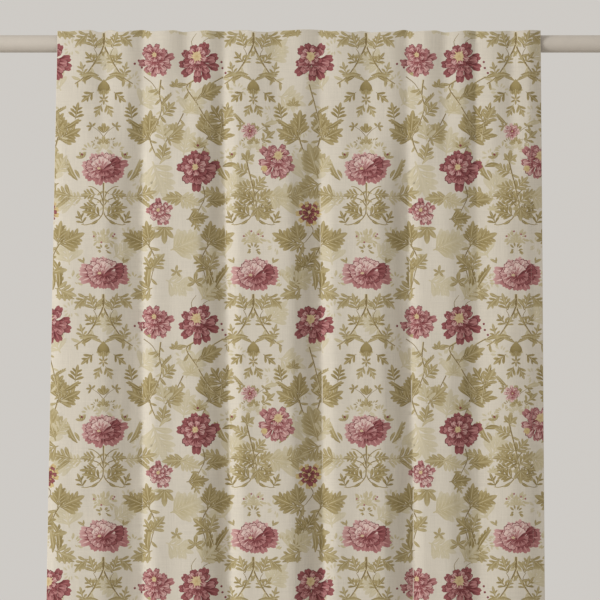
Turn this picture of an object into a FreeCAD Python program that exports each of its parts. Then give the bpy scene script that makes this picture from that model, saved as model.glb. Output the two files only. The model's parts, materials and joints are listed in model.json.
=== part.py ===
import FreeCAD, Part
from Sketcher import Constraint
import math
import os

# A single unlined curtain panel hung by hidden back tabs on a wooden pole, held by two wall brackets.
# Frame: +X along the pole, +Y into the wall, +Z up. The origin is the centre of the four wall screw
# holes, on the wall plane. The panel is a chain of flat strips of cloth that fold like an accordion:
# strips of one fold are equally long, so the tabs at its back edges stay on the line of the pole.

V = FreeCAD.Vector
UP = V(0, 0, 1)
ALONG_POLE = V(1, 0, 0)

os.makedirs("parts", exist_ok=True)
doc = FreeCAD.newDocument("curtain_on_pole")

DIMENSIONS = [
    ("pole_diameter", 35.0),
    ("pole_length", 1500.0),
    ("pole_edge_round", 1.0),
    ("pole_to_wall", 85.0),
    ("spigot_bore_diameter", 12.1),
    ("spigot_bore_depth", 25.0),
    ("cap_diameter", 42.0),
    ("cap_thickness", 12.0),
    ("cap_edge_round", 3.0),
    ("cap_seat_gap", 0.1),
    ("spigot_diameter", 12.0),
    ("spigot_length", 22.0),
    ("bracket_spacing", 1360.0),
    ("plate_width", 30.0),
    ("plate_height", 84.0),
    ("plate_thickness", 5.0),
    ("plate_corner", 6.0),
    ("screw_spacing", 60.0),
    ("screw_hole_diameter", 5.0),
    ("arm_side", 12.0),
    ("arm_edge_round", 2.0),
    ("cradle_width", 22.0),
    ("cradle_wall", 4.0),
    ("cradle_gap", 0.2),
    ("cradle_lip_rise", 6.0),
    ("panel_flat_width", 1066.8),
    ("panel_drop", 2133.6),
    ("cloth_thickness", 1.0),
    ("heading_above_pole", 7.0),
    ("hinge_setback", 3.0),
    ("bay_one", 171.0),
    ("bay_two", 162.0),
    ("bay_three", 192.0),
    ("bay_four", 176.0),
    ("bay_five", 138.0),
    ("bay_six", 130.0),
    ("band_height", 76.0),
    ("band_thickness", 0.8),
    ("band_setback", 8.0),
    ("tab_width", 25.0),
    ("tab_thickness", 1.2),
    ("tab_gap", 0.8),
    ("tab_base_height", 46.0),
    ("tab_edge_inset", 2.0),
    ("cloth_to_tab_gap", 2.0),
]

sheet = doc.addObject("Spreadsheet::Sheet", "dims")
for row, (alias, value) in enumerate(DIMENSIONS, start=1):
    sheet.set(f"A{row}", alias)
    sheet.set(f"B{row}", str(value))
    sheet.setAlias(f"B{row}", alias)
doc.recompute()

BAYS = ["bay_one", "bay_two", "bay_three", "bay_four", "bay_five", "bay_six"]


def size(alias):
    return float(sheet.get(alias))


def bind(obj, **formulas):
    """Tie properties of obj to cells of the sheet."""
    for name, formula in formulas.items():
        obj.setExpression(name, formula)


# Places worked out from the driving dimensions.
POLE_RADIUS = size("pole_diameter") / 2
CRADLE_INNER = POLE_RADIUS + size("cradle_gap")
CRADLE_OUTER = CRADLE_INNER + size("cradle_wall")
POLE_Y = -size("pole_to_wall")
POLE_Z = size("arm_side") / 2 + CRADLE_OUTER
TAB_INNER = POLE_RADIUS + size("tab_gap")
TAB_OUTER = TAB_INNER + size("tab_thickness")
BACK_FOLD_Y = POLE_Y - TAB_OUTER - size("cloth_to_tab_gap")
PANEL_TOP = POLE_Z + POLE_RADIUS + size("heading_above_pole")
HUNG_WIDTH = sum(size(bay) for bay in BAYS)
PANEL_LEFT = -HUNG_WIDTH / 2
FOLD_COSINE = HUNG_WIDTH / size("panel_flat_width")
FOLD_ANGLE = math.degrees(math.acos(FOLD_COSINE))

sub_parts = []


def keep(obj, node):
    obj.Label = node
    sub_parts.append((obj, node))
    return obj


def origin_plane(body, role):
    return next(f for f in body.Origin.OriginFeatures if f.Role == role)


def new_sketch(body, role, name):
    sketch = body.newObject("Sketcher::SketchObject", name)
    sketch.AttachmentSupport = [(origin_plane(body, role), "")]
    sketch.MapMode = "FlatFace"
    return sketch


def closed_outline(sketch, points):
    """A closed run of straight lines through the points; the first edge is number 0."""
    count = len(points)
    for i, point in enumerate(points):
        sketch.addGeometry(Part.LineSegment(point, points[(i + 1) % count]), False)
    for i in range(count):
        sketch.addConstraint(Constraint("Coincident", i, 2, (i + 1) % count, 1))


def bound_dimension(sketch, alias, *constraint):
    """A named dimension of the sketch that follows a formula of the sheet's cells."""
    name, formula = alias
    index = sketch.addConstraint(Constraint(*constraint))
    sketch.renameConstraint(index, name)
    sketch.setExpression("Constraints." + name, formula)


def wall_plate(node, x):
    """A rectangular plate against the wall, with two plain screw holes above and below the arm."""
    half_w, half_h = size("plate_width") / 2, size("plate_height") / 2
    body = doc.addObject("PartDesign::Body", node + "_body")
    outline = new_sketch(body, "XZ_Plane", node + "_outline")
    closed_outline(outline, [V(-half_w, -half_h, 0), V(half_w, -half_h, 0),
                             V(half_w, half_h, 0), V(-half_w, half_h, 0)])
    for edge, direction in enumerate(("Horizontal", "Vertical") * 2):
        outline.addConstraint(Constraint(direction, edge))
    outline.addConstraint(Constraint("Symmetric", 0, 1, 2, 1, -1, 1))
    bound_dimension(outline, ("width", "dims.plate_width"), "DistanceX", 0, 1, 0, 2, 2 * half_w)
    bound_dimension(outline, ("height", "dims.plate_height"), "DistanceY", 1, 1, 1, 2, 2 * half_h)
    plate = body.newObject("PartDesign::Pad", node + "_pad")
    plate.Profile = outline
    bind(plate, Length="dims.plate_thickness")
    doc.recompute()
    corners = [f"Edge{i}" for i, edge in enumerate(plate.Shape.Edges, start=1)
               if abs(edge.tangentAt(edge.FirstParameter).y) > 0.99]
    rounded = body.newObject("PartDesign::Fillet", node + "_corners")
    rounded.Base = (plate, corners)
    bind(rounded, Radius="dims.plate_corner")
    doc.recompute()
    holes = new_sketch(body, "XZ_Plane", node + "_holes")
    hole_radius, offset = size("screw_hole_diameter") / 2, size("screw_spacing") / 2
    for hole, side in enumerate((-1, 1)):
        holes.addGeometry(Part.Circle(V(0, side * offset, 0), UP, hole_radius), False)
        bound_dimension(holes, (f"radius_{hole}", "dims.screw_hole_diameter / 2"),
                        "Radius", hole, hole_radius)
    holes.addConstraint(Constraint("PointOnObject", 0, 3, -2))
    holes.addConstraint(Constraint("Symmetric", 0, 3, 1, 3, -1, 1))
    bound_dimension(holes, ("spacing", "dims.screw_spacing"), "DistanceY", 0, 3, 1, 3, 2 * offset)
    drilled = body.newObject("PartDesign::Pocket", node + "_drilled")
    drilled.Profile = holes
    drilled.Type = "ThroughAll"
    drilled.Midplane = True
    doc.recompute()
    if rounded.Shape.Volume - drilled.Shape.Volume < 1:
        raise RuntimeError("the screw holes of " + node + " cut nothing")
    body.Placement = FreeCAD.Placement(V(x, 0, 0), FreeCAD.Rotation())
    return keep(body, node)


def bracket_arm(node, x):
    """A square bar from the plate forward to under the pole, with eased long edges."""
    bar = doc.addObject("Part::Box", node + "_bar")
    bind(bar, Length="dims.arm_side", Height="dims.arm_side",
         Width="dims.pole_to_wall - dims.plate_thickness + dims.arm_side / 2")
    half = size("arm_side") / 2
    bar.Placement = FreeCAD.Placement(V(x - half, POLE_Y - half, -half), FreeCAD.Rotation())
    doc.recompute()
    long_edges = [i for i, edge in enumerate(bar.Shape.Edges, start=1)
                  if abs(edge.tangentAt(edge.FirstParameter).y) > 0.99
                  and edge.CenterOfMass.z < 0]
    eased = doc.addObject("Part::Fillet", node + "_eased")
    eased.Base = bar
    radius = size("arm_edge_round")
    eased.Edges = [(i, radius, radius) for i in long_edges]
    return keep(eased, node)


def cradle(node, x):
    """An open-topped cup under the pole: a half ring with two upright lips and a flat foot."""
    foot, rise = size("arm_side") / 2, size("cradle_lip_rise")
    foot_angle = math.acos(foot / CRADLE_OUTER)
    left_end, right_start = 1.5 * math.pi - (0.5 * math.pi - foot_angle), 2 * math.pi - foot_angle
    shoulder = -CRADLE_OUTER * math.sin(foot_angle)
    body = doc.addObject("PartDesign::Body", node + "_body")
    profile = new_sketch(body, "YZ_Plane", node + "_profile")
    outer, inner = (Part.Circle(V(0, 0, 0), UP, r) for r in (CRADLE_OUTER, CRADLE_INNER))
    profile.addGeometry(Part.ArcOfCircle(inner, math.pi, 2 * math.pi), False)
    profile.addGeometry(Part.ArcOfCircle(outer, math.pi, left_end), False)
    profile.addGeometry(Part.ArcOfCircle(outer, right_start, 2 * math.pi), False)
    corners = [V(-CRADLE_OUTER, 0, 0), V(-CRADLE_OUTER, rise, 0), V(-CRADLE_INNER, rise, 0),
               V(-CRADLE_INNER, 0, 0)]
    for start, end in zip(corners, corners[1:]):
        profile.addGeometry(Part.LineSegment(start, end), False)
        mirrored = [V(-point.x, point.y, 0) for point in (start, end)]
        profile.addGeometry(Part.LineSegment(*mirrored), False)
    sole = [V(-foot, shoulder, 0), V(-foot, -CRADLE_OUTER, 0), V(foot, -CRADLE_OUTER, 0),
            V(foot, shoulder, 0)]
    for start, end in zip(sole, sole[1:]):
        profile.addGeometry(Part.LineSegment(start, end), False)
    for arc in range(3):
        profile.addConstraint(Constraint("Coincident", arc, 3, -1, 1))
    bound_dimension(profile, ("inner", "dims.pole_diameter / 2 + dims.cradle_gap"),
                    "Radius", 0, CRADLE_INNER)
    cup = body.newObject("PartDesign::Pad", node + "_cup")
    cup.Profile = profile
    cup.Midplane = True
    bind(cup, Length="dims.cradle_width")
    doc.recompute()
    body.Placement = FreeCAD.Placement(V(x, POLE_Y, POLE_Z), FreeCAD.Rotation())
    return keep(body, node)


def along_x(obj, x):
    """Lay a shape made along +Z on the pole's line, starting at x."""
    obj.Placement = FreeCAD.Placement(V(x, POLE_Y, POLE_Z), FreeCAD.Rotation(UP, ALONG_POLE))


def pole():
    """A turned wooden pole with a blind bore in each end for the end cap's spigot."""
    bar = doc.addObject("Part::Cylinder", "pole_bar")
    bind(bar, Radius="dims.pole_diameter / 2", Height="dims.pole_length")
    half = size("pole_length") / 2
    along_x(bar, -half)
    doc.recompute()
    eased = doc.addObject("Part::Fillet", "pole_eased")
    eased.Base = bar
    radius = size("pole_edge_round")
    eased.Edges = [(i, radius, radius) for i, edge in enumerate(bar.Shape.Edges, start=1)
                   if isinstance(edge.Curve, Part.Circle)]
    solid = eased
    for side in (-1, 1):
        bore = doc.addObject("Part::Cylinder", f"pole_bore_{side + 1}")
        bind(bore, Radius="dims.spigot_bore_diameter / 2", Height="dims.spigot_bore_depth")
        depth = size("spigot_bore_depth")
        along_x(bore, half - depth if side > 0 else -half)
        cut = doc.addObject("Part::Cut", f"pole_cut_{side + 1}")
        cut.Base = solid
        cut.Tool = bore
        solid = cut
    return keep(solid, "curtain_pole")


def end_cap(node, side):
    """A turned wooden disc with a spigot that pushes into the pole's end."""
    face = side * (size("pole_length") / 2 + size("cap_seat_gap"))
    disc = doc.addObject("Part::Cylinder", node + "_disc")
    bind(disc, Radius="dims.cap_diameter / 2", Height="dims.cap_thickness")
    along_x(disc, face if side > 0 else face - size("cap_thickness"))
    doc.recompute()
    rounded = doc.addObject("Part::Fillet", node + "_rounded")
    rounded.Base = disc
    radius = size("cap_edge_round")
    rounded.Edges = [(i, radius, radius) for i, edge in enumerate(disc.Shape.Edges, start=1)
                     if isinstance(edge.Curve, Part.Circle)]
    spigot = doc.addObject("Part::Cylinder", node + "_spigot")
    bind(spigot, Radius="dims.spigot_diameter / 2", Height="dims.spigot_length")
    along_x(spigot, face - size("spigot_length") if side > 0 else face)
    whole = doc.addObject("Part::Fuse", node + "_whole")
    whole.Base = rounded
    whole.Tool = spigot
    return keep(whole, node)


def strip_box(node, length, start, angle, setback, thickness, offset, drop):
    """A flat upright strip, set back from both of its fold lines. Offset is towards the wall."""
    box = doc.addObject("Part::Box", node + "_cloth")
    bind(box, Length=f"{length} - 2 * dims.{setback}", Width=f"dims.{thickness}", Height=f"dims.{drop}")
    turn = FreeCAD.Rotation(UP, angle)
    corner = turn.multVec(V(size(setback), offset, 0))
    place = V(start.x, start.y, PANEL_TOP - size(drop)) + corner
    box.Placement = FreeCAD.Placement(place, turn)
    return keep(box, node)


def fold_strip(number, side, bay, start, angle):
    """One of the two strips of cloth of a fold, with the heading band sewn to its back."""
    length = f"dims.{bay} / 2 / ({FOLD_COSINE:.9f})"
    half = size("cloth_thickness") / 2
    strip_box(f"panel_fold_{number}_{side}", length, start, angle,
              "hinge_setback", "cloth_thickness", -half, "panel_drop")
    strip_box(f"heading_band_{number}_{side}", length, start, angle,
              "band_setback", "band_thickness", half, "band_height")


def back_tab(number, centre_x):
    """A strap loop round the pole, closed by its flat base that is sewn to the heading."""
    node = f"back_tab_{number}"
    rings = []
    for name, radius in (("outer", "dims.pole_diameter / 2 + dims.tab_gap + dims.tab_thickness"),
                         ("inner", "dims.pole_diameter / 2 + dims.tab_gap")):
        ring = doc.addObject("Part::Cylinder", f"{node}_{name}")
        bind(ring, Radius=radius, Height="dims.tab_width")
        along_x(ring, centre_x - size("tab_width") / 2)
        rings.append(ring)
    loop = doc.addObject("Part::Cut", node + "_loop")
    loop.Base, loop.Tool = rings
    base = doc.addObject("Part::Box", node + "_base")
    bind(base, Length="dims.tab_width", Width="dims.tab_thickness", Height="dims.tab_base_height")
    base_low = V(centre_x - size("tab_width") / 2, POLE_Y - TAB_OUTER, POLE_Z - size("tab_base_height") / 2)
    base.Placement = FreeCAD.Placement(base_low, FreeCAD.Rotation())
    whole = doc.addObject("Part::Fuse", node + "_whole")
    whole.Base = loop
    whole.Tool = base
    return keep(whole, node)


def panel():
    """Six folds of two strips each, with a tab at every back fold line and at both side edges."""
    x = PANEL_LEFT
    inward = size("tab_edge_inset") + size("tab_width") / 2
    back_tab(1, x + inward)
    for number, bay in enumerate(BAYS, start=1):
        half_bay = size(bay) / 2
        reach = half_bay * math.tan(math.radians(FOLD_ANGLE))
        fold_strip(number, "left", bay, V(x, BACK_FOLD_Y, 0), -FOLD_ANGLE)
        fold_strip(number, "right", bay, V(x + half_bay, BACK_FOLD_Y - reach, 0), FOLD_ANGLE)
        print(f"fold {number}: back fold x={x:.3f}, crest x={x + half_bay:.3f} y={BACK_FOLD_Y - reach:.3f}")
        x += size(bay)
        last = number == len(BAYS)
        back_tab(number + 1, x - inward if last else x)


for side_name, side_sign in (("left", -1), ("right", 1)):
    bracket_x = side_sign * size("bracket_spacing") / 2
    wall_plate(side_name + "_wall_plate", bracket_x)
    bracket_arm(side_name + "_bracket_arm", bracket_x)
    cradle(side_name + "_cradle", bracket_x)
    end_cap(side_name + "_end_cap", side_sign)
pole()
panel()
doc.recompute()

for obj in doc.Objects:
    if "Invalid" in obj.State or "Error" in obj.State:
        raise RuntimeError(obj.Name + " did not build: " + str(obj.State))

for obj, node in sub_parts:
    shape = obj.Shape
    if shape.isNull() or not shape.isValid() or len(shape.Solids) != 1:
        raise RuntimeError(node + " is not one valid solid")

print(f"pole axis y={POLE_Y:.3f} z={POLE_Z:.3f}, back fold y={BACK_FOLD_Y:.3f}, fold angle {FOLD_ANGLE:.4f}")
for obj, node in sub_parts:
    obj.Shape.exportStep(f"parts/{node}.step")
print(len(sub_parts), "sub-parts written")
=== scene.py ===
import json
import math
import random
import bpy
import numpy as np
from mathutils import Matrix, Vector
from mathutils.geometry import delaunay_2d_cdt


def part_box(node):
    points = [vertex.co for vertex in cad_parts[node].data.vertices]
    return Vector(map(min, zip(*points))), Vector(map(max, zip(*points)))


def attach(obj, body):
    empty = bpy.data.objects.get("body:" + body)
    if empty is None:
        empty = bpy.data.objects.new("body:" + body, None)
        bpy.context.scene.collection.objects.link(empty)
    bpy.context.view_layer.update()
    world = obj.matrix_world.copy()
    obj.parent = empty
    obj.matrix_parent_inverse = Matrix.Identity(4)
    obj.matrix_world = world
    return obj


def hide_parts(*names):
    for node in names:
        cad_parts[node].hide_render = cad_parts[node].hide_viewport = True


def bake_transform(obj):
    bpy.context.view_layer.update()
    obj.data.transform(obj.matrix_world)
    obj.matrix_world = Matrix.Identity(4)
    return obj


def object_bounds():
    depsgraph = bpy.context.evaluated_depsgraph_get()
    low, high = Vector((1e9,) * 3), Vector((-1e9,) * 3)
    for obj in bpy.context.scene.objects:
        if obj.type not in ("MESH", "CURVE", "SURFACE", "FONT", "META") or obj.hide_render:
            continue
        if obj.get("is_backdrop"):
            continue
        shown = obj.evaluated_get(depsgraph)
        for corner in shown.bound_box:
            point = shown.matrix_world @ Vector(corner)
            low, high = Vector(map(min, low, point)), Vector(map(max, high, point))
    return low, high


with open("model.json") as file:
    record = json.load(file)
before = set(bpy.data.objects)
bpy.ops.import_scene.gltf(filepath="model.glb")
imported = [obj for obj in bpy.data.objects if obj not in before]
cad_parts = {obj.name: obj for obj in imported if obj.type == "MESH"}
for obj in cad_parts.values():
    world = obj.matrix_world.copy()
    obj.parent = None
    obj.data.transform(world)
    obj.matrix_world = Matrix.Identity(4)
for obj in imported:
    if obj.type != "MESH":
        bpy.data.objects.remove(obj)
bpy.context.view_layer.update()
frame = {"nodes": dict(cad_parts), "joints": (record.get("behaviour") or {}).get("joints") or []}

# A printed curtain panel on a pole. The cloth is made in a flat plane of its own, in millimetres: x is the
# place along the pole and drop the distance down from the panel's top edge. place_cloth() hangs it in folds.

MM = 0.001

# ---------------------------------------------------------------- the printed design
# One repeat is REPEAT mm square: x runs right from a mirror line of the design, y down from the panel's top.
REPEAT = 526.0
SECOND_LINE = 300.0

GROUND = (0.828, 0.796, 0.738)
OLIVE_DARK = (0.495, 0.428, 0.258)
OLIVE = (0.610, 0.545, 0.360)
OLIVE_LIGHT = (0.712, 0.655, 0.500)
OLIVE_PALE = (0.758, 0.714, 0.590)
GHOST = (0.788, 0.748, 0.645)
VEIN = (0.815, 0.765, 0.640)
STEM = (0.520, 0.450, 0.290)
WINE_DARK = (0.385, 0.165, 0.175)
WINE = (0.500, 0.235, 0.248)
ROSE = (0.640, 0.400, 0.400)
PINK = (0.790, 0.615, 0.600)
BLUSH = (0.865, 0.775, 0.740)
STRAW = (0.785, 0.705, 0.500)
OCHRE = (0.690, 0.560, 0.370)


def mix(a, b, share):
    return tuple(p + (q - p) * share for p, q in zip(a, b))


DEEP = (OLIVE_DARK, OLIVE, OLIVE_LIGHT)
MID = (mix(OLIVE_DARK, OLIVE, 0.6), mix(OLIVE, OLIVE_LIGHT, 0.40), mix(OLIVE_LIGHT, OLIVE_PALE, 0.6))
PALE = (OLIVE_LIGHT, OLIVE_PALE, GHOST)
FAINT = (mix(OLIVE_PALE, GHOST, 0.2), mix(OLIVE_PALE, GHOST, 0.65), mix(GHOST, GROUND, 0.3))
# The colours of a petal from its base to its rim.
DARK_PETAL = (WINE_DARK, mix(WINE_DARK, WINE, 0.6), mix(WINE, ROSE, 0.7))
RICH_PETAL = (WINE_DARK, mix(WINE, ROSE, 0.2), mix(ROSE, PINK, 0.45))
ROSE_PETAL = (WINE, mix(WINE, ROSE, 0.7), mix(PINK, BLUSH, 0.2))
SOFT_PETAL = (WINE, mix(ROSE, PINK, 0.3), mix(PINK, BLUSH, 0.8))
CREAM_PETAL = (mix(WINE, ROSE, 0.6), mix(PINK, BLUSH, 0.2), BLUSH)
STRAW_PETAL = (WINE, mix(OCHRE, STRAW, 0.4), STRAW)


class Design:
    """Flat printed shapes in order, the later ones on top."""

    def __init__(self):
        self.shapes = []
        self.line = 0.0
        self.flip = 1.0
        self.random = random.Random(7)

    def place(self, points):
        points = np.asarray(points, float)
        return np.stack([self.line + self.flip * points[:, 0], points[:, 1]], 1)

    def shape(self, outline, base, tip, half_width, colours, rim=None, rim_share=0.0):
        """colours are those at the base, half way and at the tip; rim is the colour of the sides."""
        base, tip = self.place([base, tip])
        colours = (*colours, rim or colours[1])
        self.shapes.append((self.place(outline), base, tip, half_width, colours, rim_share))


def turn(points, angle, at):
    c, s = math.cos(angle), math.sin(angle)
    points = np.asarray(points, float)
    x, y = points[:, 0], points[:, 1]
    return np.stack([at[0] + x * c - y * s, at[1] + x * s + y * c], 1)


def blade(length, width, bend=0.0, steps=5, belly=1.0):
    """A leaf-shaped outline along +x with a pointed tip, widest nearer the tip with a larger belly."""
    share = 1 - (1 - np.linspace(0, 1, steps + 2)) ** 1.6
    half = 0.5 * width * np.maximum(np.sin(math.pi * share ** belly), 0) ** 0.6
    half[0] = 0.08 * width
    half[-1] = 0.0
    middle = bend * length * share ** 2
    upper = np.stack([share * length, middle - half], 1)
    lower = np.stack([share * length, middle + half], 1)[::-1][1:]
    return np.concatenate([upper, lower])


VEINED_LENGTH = 19.0


def leaflet(d, at, angle, length, width, tone, bend=0.0, belly=1.0, vein=0.6):
    dark, mid, light = tone
    shade = d.random.uniform(-0.35, 0.35)
    mid = mix(mid, light if shade > 0 else dark, abs(shade))
    steps = 5 if length > 24 else 3
    outline = turn(blade(length, width, bend, steps, belly), angle, at)
    tip = outline[steps + 1]
    colours = (mix(dark, mid, 0.3), mid, mix(mid, light, 0.75))
    d.shape(outline, at, tip, width / 2, colours, mix(dark, mid, 0.45), 0.7)
    if vein:
        line = turn(blade(length * vein, max(width * 0.12, 0.5), bend * vein, 2), angle, at)
        d.shape(line, at, line[3], width, (mix(light, VEIN, 0.4),) * 3)


def acanthus(d, x, y, angle, length, tone=DEEP, lobes=3, spread=1.0, bend=0.0):
    """A leaf of forward-pointing lobes in pairs along its rib, with a toothed outline."""
    heading = math.radians(angle)
    for i in range(lobes):
        share = i / lobes
        along = length * (0.10 + 0.58 * share)
        sag = bend * length * (along / length) ** 2
        foot = turn([(along, sag)], heading, (x, y))[0]
        reach = length * (0.52 - 0.20 * share)
        for side in (-1, 1):
            swing = math.radians((46 - 18 * share) * spread) * side + 1.6 * bend * share
            stretch = reach * d.random.uniform(0.85, 1.12)
            leaflet(d, foot, heading + swing, stretch, stretch * 0.34, tone, 0.16 * side, 1.6,
                    0.72 if stretch > VEINED_LENGTH else 0)
    leaflet(d, (x, y), heading, length, length * 0.19, tone, bend, 2.0, 0.88)


def fan_leaf(d, x, y, angle, length, tone=DEEP, blades=5, spread=150.0):
    """A palm-shaped leaf: blades that spread from one point."""
    for i in sorted(range(blades), key=lambda i: -abs(i - (blades - 1) / 2)):
        share = i / (blades - 1) - 0.5
        reach = length * (1 - 0.45 * abs(2 * share) ** 1.5)
        leaflet(d, (x, y), math.radians(angle + spread * share), reach, reach * 0.36, tone, 0.12 * share, 1.3)


def small_leaf(d, x, y, angle, length, tone=MID, bend=0.15, width=0.34):
    leaflet(d, (x, y), math.radians(angle), length, length * width, tone, bend, 1.2)


def scroll_leaf(d, x, y, angle, length, tone=MID, curl=0.4):
    """A curved leaf with short teeth along its outer side."""
    side = 1 if curl > 0 else -1
    heading = math.radians(angle)
    for share in (0.30, 0.48, 0.66, 0.82):
        foot = turn([(length * share, curl * length * share ** 2)], heading, (x, y))[0]
        swing = math.atan(2 * curl * share) - 0.75 * side
        leaflet(d, foot, heading + swing, length * 0.26, length * 0.12, tone, 0.2 * side, 1.3, 0)
    leaflet(d, (x, y), heading, length, length * 0.24, tone, curl, 1.1, 0.8)


def spray(d, x, y, size, tone=PALE, count=9, start=-90.0, arc=300.0):
    """A loose tuft of tiny leaves."""
    for i in range(count):
        angle = math.radians(start + arc * (i / max(count - 1, 1) - 0.5) + d.random.uniform(-9, 9))
        reach = size * d.random.uniform(0.55, 1.0)
        foot = (x + 0.45 * reach * math.cos(angle), y + 0.45 * reach * math.sin(angle))
        leaflet(d, foot, angle + d.random.uniform(-0.4, 0.4), reach * 0.55, reach * 0.24, tone, 0.1, 1.2, 0)


def sprig(d, x, y, size, tone=MID, angles=(-90, -45, -135, -10, -170)):
    for angle in angles:
        small_leaf(d, x, y, angle, size * (1 if angle == -90 else 0.85), tone, 0.1, 0.40)


def ellipse(x, y, across, down, steps=8):
    angle = np.linspace(0, 2 * math.pi, steps + 1)[:-1]
    return np.stack([x + across * np.cos(angle), y + down * np.sin(angle)], 1)


def bud(d, x, y, size=3.2, colour=WINE):
    d.shape(ellipse(x, y, size, size), (x - size, y - size), (x + size, y + size), size,
            (mix(colour, PINK, 0.4), colour, WINE_DARK))


STOUT, LEAF_SPACING = 2.0, 11.0


def stem(d, points, width=2.0, colour=STEM, edge=VEIN):
    """A tapered line along a smooth curve, with a pale line beside it. A stout one bears leaves."""
    p = np.asarray(points, float)
    ends = np.concatenate([[2 * p[0] - p[1]], p, [2 * p[-1] - p[-2]]])
    fine = []
    for a, b, c, e in zip(ends, ends[1:], ends[2:], ends[3:]):
        for t in (0.0, 0.33, 0.67):
            fine.append(0.5 * (2 * b + (c - a) * t + (2 * a - 5 * b + 4 * c - e) * t ** 2
                               + (3 * b - a - 3 * c + e) * t ** 3))
    fine = np.array([*fine, p[-1]])
    along = np.gradient(fine, axis=0)
    normal = np.stack([-along[:, 1], along[:, 0]], 1)
    normal /= np.maximum(np.linalg.norm(normal, axis=1, keepdims=True), 1e-9)
    half = 0.55 * width * np.linspace(1.0, 0.6, len(fine))[:, None]
    pale = np.concatenate([fine - normal * half, (fine + normal * half * 2.2)[::-1]])
    d.shape(pale, fine[0], fine[-1], width * 9, (edge,) * 3)
    line = np.concatenate([fine - normal * half, (fine + normal * half)[::-1]])
    d.shape(line, fine[0], fine[-1], width * 9, (colour, colour, mix(colour, OLIVE_LIGHT, 0.4)))
    if width < STOUT:
        return
    leaves = round(np.linalg.norm(np.diff(fine, axis=0), axis=1).sum() / LEAF_SPACING)
    for k in range(1, leaves):
        i, side = k * len(fine) // leaves, (-1) ** k
        angle = math.degrees(math.atan2(along[i, 1], along[i, 0])) + side * d.random.uniform(30, 55)
        small_leaf(d, *fine[i], angle, d.random.uniform(12, 21), MID if k % 3 else PALE, 0.2 * side)


def petal(d, base, angle, reach, half_angle, colours, squash=1.0, scallops=3, lined=True):
    """A fan with a scalloped rim and streaks. squash flattens it; lined puts a dark line round it."""
    tint = d.random.uniform(-0.35, 0.30)
    root, middle, end = colours
    middle = mix(middle, root if tint > 0 else end, abs(tint))
    u = np.linspace(-1, 1, 3 * scallops + 1)
    rim = 1 - 0.22 * u ** 2 - 0.10 * (1 - np.abs(np.sin(0.5 * math.pi * scallops * (u + 1))))
    arc = np.stack([reach * rim * np.cos(u * half_angle), reach * rim * np.sin(u * half_angle)], 1)
    shoulder, low = half_angle * 0.8, 0.55 * reach
    sides = [(low * math.cos(shoulder), sign * low * math.sin(shoulder)) for sign in (-1, 1)]
    outline = turn(np.concatenate([[(0.0, 0.0), sides[0]], arc, [sides[1]]]), angle, (0, 0))
    tip = (base[0] + reach * math.cos(angle), base[1] + reach * math.sin(angle) * squash)
    outline = outline * (1, squash)
    if lined:
        d.shape(outline * 1.05 + base, base, tip, reach, (mix(root, WINE_DARK, 0.5),) * 3)
    d.shape(outline + base, base, tip, reach * math.sin(half_angle), (root, middle, end), end, 0.5)
    for k in range(2 * scallops - 1):
        off = (k + 1) / scallops - 1
        dark = k % 2 == 0
        start, length = (0.16, 0.62) if dark else (0.42, 0.46)
        colour = mix(middle, root, 0.75) if dark else mix(middle, end, 1.25)
        streak = turn(blade(reach * length, reach * 0.07, 0.06 * off, 1), angle + off * half_angle, (0, 0))
        direction = angle + off * half_angle * 0.85
        streak += np.array([math.cos(direction), math.sin(direction)]) * reach * start
        streak = streak * (1, squash) + base
        d.shape(streak, streak[0], streak[2], reach, (colour,) * 3)


def petals(d, x, y, reach, start, end, count, half_angle, colours, squash=1.0, scallops=3,
           jitter=0.10, lined=True):
    """Petals that fan out from a point, between two angles, in a shuffled order."""
    order = list(range(count))
    d.random.shuffle(order)
    for i in order:
        share = (i + 0.5 + d.random.uniform(-0.2, 0.2)) / count
        angle = math.radians(start + (end - start) * share)
        size = reach * (1 + d.random.uniform(-jitter, jitter))
        petal(d, (x, y), angle, size, half_angle, colours, squash, scallops, lined)


def stamens(d, x, y, size, colour=STRAW, count=16, squash=1.0):
    """A ragged tuft of short pale strokes."""
    d.shape(ellipse(x, y, size * 0.62, size * 0.62 * squash), (x - size, y), (x + size, y), size,
            (colour, mix(colour, OCHRE, 0.35), colour))
    for i in range(count):
        angle = 2 * math.pi * i / count + d.random.uniform(-0.3, 0.3)
        reach = size * d.random.uniform(0.45, 1.05)
        stroke = turn(blade(reach, size * 0.17, d.random.uniform(-0.2, 0.2), 2, 1.4), angle, (0, 0))
        stroke = stroke * (1, squash) + (x, y)
        light = mix(colour, BLUSH, d.random.uniform(0.0, 0.7))
        d.shape(stroke, (x, y), stroke[3], size * 0.2, (mix(colour, OCHRE, 0.6), colour, light))


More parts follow.
